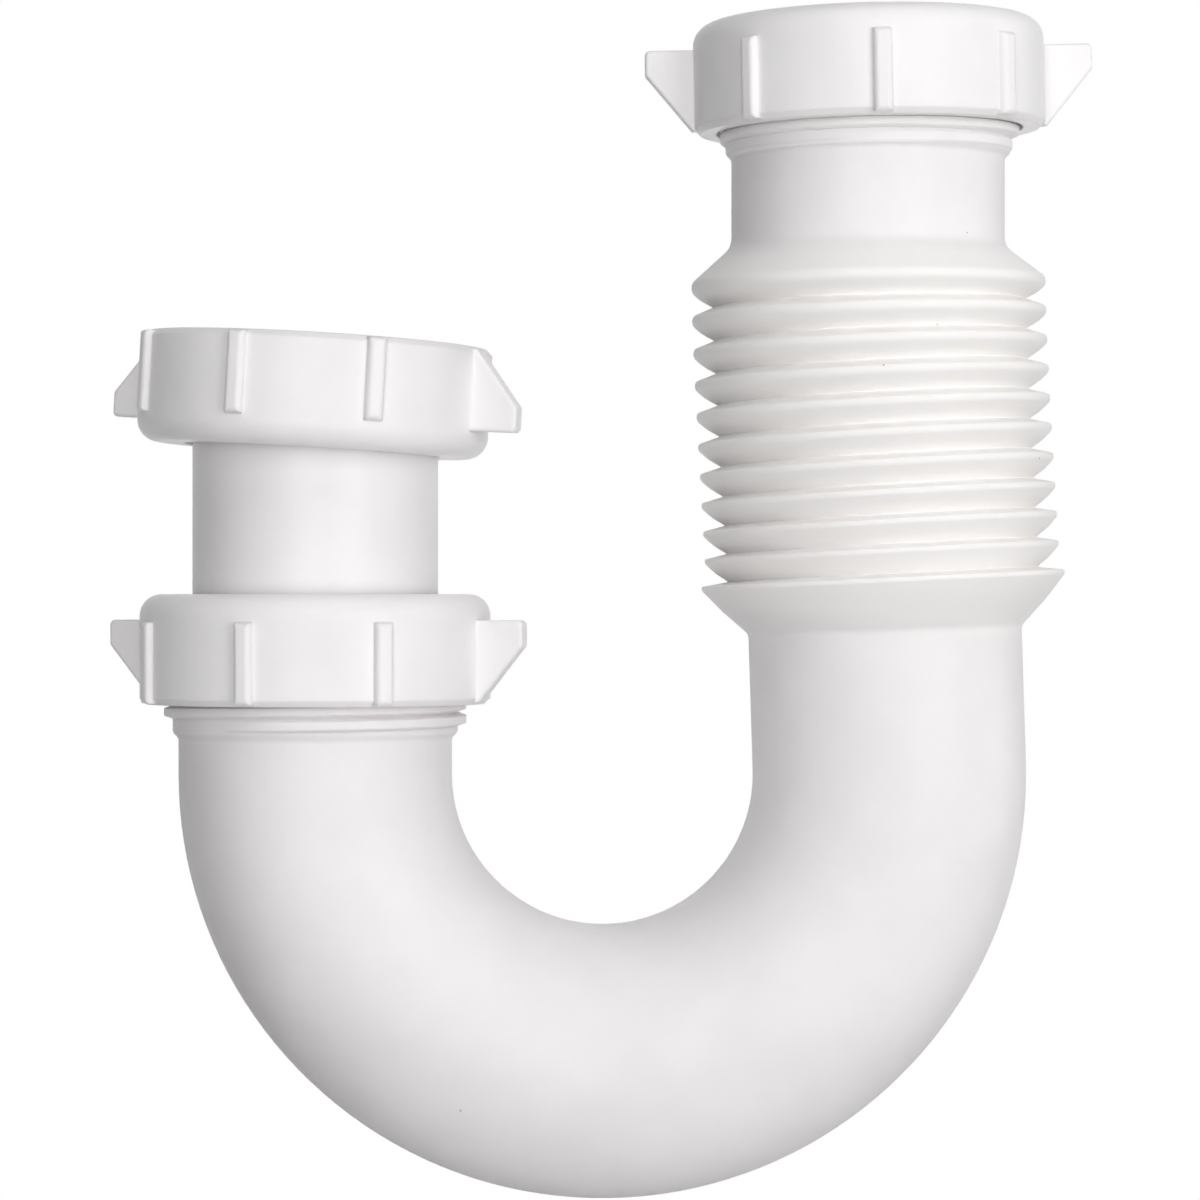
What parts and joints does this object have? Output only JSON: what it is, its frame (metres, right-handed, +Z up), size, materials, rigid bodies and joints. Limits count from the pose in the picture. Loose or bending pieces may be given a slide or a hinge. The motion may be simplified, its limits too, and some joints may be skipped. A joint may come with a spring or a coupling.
{
  "type": "flexible j-bend",
  "caption": "White plastic J-bend for a sink trap, with a bellows inlet leg, winged slip nuts and a short flanged outlet tube.",
  "frame": {"origin": "on the axis of the inlet socket, where its straight bore begins under the bevelled mouth", "axes": "+Z up along the inlet bore, +X from the outlet leg towards the inlet leg, +Y away from the viewer"},
  "size_m": [0.1536, 0.0568, 0.1829],
  "materials": {
    "moulded_pipe": "satin white polypropylene",
    "moulded_nut": "satin white polypropylene, a little glossier",
    "tube": "smooth white polypropylene",
    "washer": "natural polyethylene"
  },
  "bodies": {
    "trap": {"j_bend": "moulded_pipe"},
    "inlet_seal": {"inlet_washer": "washer"},
    "inlet_nut": {"inlet_nut": "moulded_nut"},
    "outlet_seal": {"outlet_washer": "washer"},
    "outlet_nut": {"outlet_nut": "moulded_nut"},
    "tube": {"outlet_tube": "tube", "union_washer": "washer"},
    "union_nut": {"union_nut": "moulded_nut"}
  },
  "joints": [
    {"name": "bellows_stretch", "type": "slide", "parent": "trap", "child": "inlet_seal", "axis": [0, 0, 1], "range_m": [0, 0.035], "deforming": ["j_bend"]},
    {"name": "inlet_nut_turn", "type": "hinge", "parent": "inlet_seal", "child": "inlet_nut", "pos_m": [0, 0, 0.00545], "axis": [-0.0192, 0, 0.9998], "range_deg": [0, 360]},
    {"name": "outlet_seal_lift", "type": "slide", "parent": "trap", "child": "outlet_seal", "axis": [0, 0, 1], "range_m": [0, 0.0067]},
    {"name": "outlet_nut_turn", "type": "hinge", "parent": "outlet_seal", "child": "outlet_nut", "pos_m": [-0.08579, 0, -0.08639], "axis": [0, 0, 1], "range_deg": [0, 1080]},
    {"name": "tube_slide", "type": "slide", "parent": "trap", "child": "tube", "axis": [0, 0, 1], "range_m": [-0.006, 0.012]},
    {"name": "union_nut_turn", "type": "hinge", "parent": "tube", "child": "union_nut", "pos_m": [-0.08619, 0, -0.05529], "axis": [0.0558, 0, 0.9984], "continuous": true}
  ],
  "couplings": [
    {"joint": "outlet_seal_lift", "follows": "outlet_nut_turn", "m_per_rad": 0.00035157}
  ]
}
